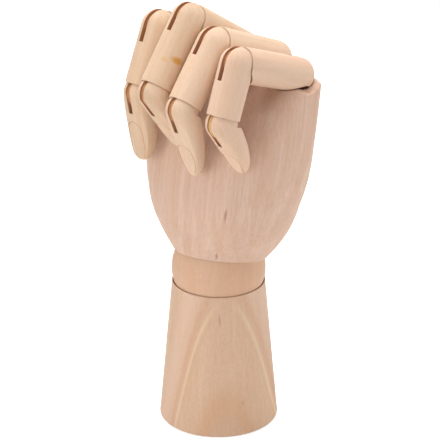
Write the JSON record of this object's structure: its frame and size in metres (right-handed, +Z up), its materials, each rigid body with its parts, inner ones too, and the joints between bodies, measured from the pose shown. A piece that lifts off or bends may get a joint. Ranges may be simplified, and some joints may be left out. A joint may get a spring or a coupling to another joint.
{
  "type": "artist's hand mannequin",
  "caption": "Jointed wooden left hand on a turned forearm base, wrist on a sprung ball, fingers with slotted hinge joints curled into a loose fist.",
  "frame": {"origin": "middle of the base's flat underside, on the turning axis of the base", "axes": "+Z up along the base, the palm and the fingertips face -Y, the thumb is on the -X side"},
  "size_m": [0.1141, 0.0799, 0.2135],
  "materials": {
    "base_wood": "turned beech, fine sanded, satin",
    "ball_wood": "turned beech ball, polished, satin",
    "palm_wood": "shaped beech block, fine sanded, satin",
    "finger_wood": "pale shaped maple, fine sanded, satin",
    "tongue_wood": "thin sawn tongue, waxed, darker on the rubbing faces",
    "pin_steel": "drawn steel pin",
    "spring_steel": "drawn spring wire"
  },
  "bodies": {
    "forearm": {"forearm_base": "base_wood", "base_cross_pin": "pin_steel"},
    "spring": {"wrist_spring": "spring_steel"},
    "ball": {"wrist_ball": "ball_wood"},
    "hand": {"palm": "palm_wood", "palm_cross_pin": "pin_steel", "index_tongue_1": "tongue_wood", "middle_tongue_1": "tongue_wood", "ring_tongue_1": "tongue_wood", "little_tongue_1": "tongue_wood", "thumb_tongue_1": "tongue_wood"},
    "index_root": {"index_proximal": "finger_wood", "index_pin_1": "pin_steel", "index_tongue_2": "tongue_wood"},
    "index_mid": {"index_middle": "finger_wood", "index_pin_2": "pin_steel", "index_tongue_3": "tongue_wood"},
    "index_tip": {"index_distal": "finger_wood", "index_pin_3": "pin_steel"},
    "middle_root": {"middle_proximal": "finger_wood", "middle_pin_1": "pin_steel", "middle_tongue_2": "tongue_wood"},
    "middle_mid": {"middle_middle": "finger_wood", "middle_pin_2": "pin_steel", "middle_tongue_3": "tongue_wood"},
    "middle_tip": {"middle_distal": "finger_wood", "middle_pin_3": "pin_steel"},
    "ring_root": {"ring_proximal": "finger_wood", "ring_pin_1": "pin_steel", "ring_tongue_2": "tongue_wood"},
    "ring_mid": {"ring_middle": "finger_wood", "ring_pin_2": "pin_steel", "ring_tongue_3": "tongue_wood"},
    "ring_tip": {"ring_distal": "finger_wood", "ring_pin_3": "pin_steel"},
    "little_root": {"little_proximal": "finger_wood", "little_pin_1": "pin_steel", "little_tongue_2": "tongue_wood"},
    "little_mid": {"little_middle": "finger_wood", "little_pin_2": "pin_steel", "little_tongue_3": "tongue_wood"},
    "little_tip": {"little_distal": "finger_wood", "little_pin_3": "pin_steel"},
    "thumb_base": {"thumb_metacarpal": "finger_wood", "thumb_pin_1": "pin_steel", "thumb_tongue_2": "tongue_wood"},
    "thumb_mid": {"thumb_proximal": "finger_wood", "thumb_pin_2": "pin_steel", "thumb_tongue_3": "tongue_wood"},
    "thumb_tip": {"thumb_distal": "finger_wood", "thumb_pin_3": "pin_steel"}
  },
  "joints": [
    {"name": "wrist_turn", "type": "hinge", "parent": "forearm", "child": "spring", "pos_m": [0, 0, 0.08], "axis": [0, 0, 1], "range_deg": [-90, 90], "deforming": ["wrist_spring"]},
    {"name": "wrist_nod", "type": "hinge", "parent": "spring", "child": "ball", "pos_m": [0, 0, 0.08], "axis": [1, 0, 0], "range_deg": [-8, 30]},
    {"name": "wrist_sway", "type": "hinge", "parent": "ball", "child": "hand", "pos_m": [0, 0, 0.08], "axis": [0, 1, 0], "range_deg": [-9, 22]},
    {"name": "index_knuckle", "type": "hinge", "parent": "hand", "child": "index_root", "pos_m": [-0.03446, 0.03034, 0.17663], "axis": [0.9942, 0.0241, 0.1053], "range_deg": [-74.8, 1]},
    {"name": "index_middle_joint", "type": "hinge", "parent": "index_root", "child": "index_mid", "pos_m": [-0.03569, -0.00805, 0.19706], "axis": [0.9942, 0.0241, 0.1053], "range_deg": [-91.4, 1]},
    {"name": "index_end_joint", "type": "hinge", "parent": "index_mid", "child": "index_tip", "pos_m": [-0.03223, -0.02283, 0.16776], "axis": [0.9942, 0.0241, 0.1053], "range_deg": [-25, 1]},
    {"name": "middle_knuckle", "type": "hinge", "parent": "hand", "child": "middle_root", "pos_m": [-0.01591, 0.03131, 0.18085], "axis": [0.9942, 0.0241, 0.1053], "range_deg": [-68.8, 0]},
    {"name": "middle_middle_joint", "type": "hinge", "parent": "middle_root", "child": "middle_mid", "pos_m": [-0.01759, -0.00432, 0.20487], "axis": [0.9942, 0.0241, 0.1053], "range_deg": [-86.1, 0]},
    {"name": "middle_end_joint", "type": "hinge", "parent": "middle_mid", "child": "middle_tip", "pos_m": [-0.01378, -0.02829, 0.17434], "axis": [0.9942, 0.0241, 0.1053], "range_deg": [-63, 0]},
    {"name": "ring_knuckle", "type": "hinge", "parent": "hand", "child": "ring_root", "pos_m": [0.00287, 0.03225, 0.18273], "axis": [0.9942, 0.0241, 0.1053], "range_deg": [-80.2, 1]},
    {"name": "ring_middle_joint", "type": "hinge", "parent": "ring_root", "child": "ring_mid", "pos_m": [0.00214, -0.00466, 0.19813], "axis": [0.9942, 0.0241, 0.1053], "range_deg": [-73.3, 1]},
    {"name": "ring_end_joint", "type": "hinge", "parent": "ring_mid", "child": "ring_tip", "pos_m": [0.00552, -0.02684, 0.17126], "axis": [0.9942, 0.0241, 0.1053], "range_deg": [-48.8, 2]},
    {"name": "little_knuckle", "type": "hinge", "parent": "hand", "child": "little_root", "pos_m": [0.02218, 0.03018, 0.18041], "axis": [0.9942, 0.0241, 0.1053], "range_deg": [-82.2, 0]},
    {"name": "little_middle_joint", "type": "hinge", "parent": "little_root", "child": "little_mid", "pos_m": [0.0216, -0.00678, 0.19434], "axis": [0.9942, 0.0241, 0.1053], "range_deg": [-86.8, 0]},
    {"name": "little_end_joint", "type": "hinge", "parent": "little_mid", "child": "little_tip", "pos_m": [0.02468, -0.01849, 0.16798], "axis": [0.9942, 0.0241, 0.1053], "range_deg": [-48, 0]},
    {"name": "thumb_root", "type": "hinge", "parent": "hand", "child": "thumb_base", "pos_m": [-0.05079, 0.013, 0.10542], "axis": [0, -0.9748, 0.2233], "range_deg": [0, 70]},
    {"name": "thumb_middle_joint", "type": "hinge", "parent": "thumb_base", "child": "thumb_mid", "pos_m": [-0.05865, 0.01946, 0.13364], "axis": [0.965, 0.0585, 0.2556], "range_deg": [0, 80]},
    {"name": "thumb_end_joint", "type": "hinge", "parent": "thumb_mid", "child": "thumb_tip", "pos_m": [-0.06547, 0.02507, 0.15809], "axis": [0.965, 0.0585, 0.2556], "range_deg": [0, 60]}
  ]
}
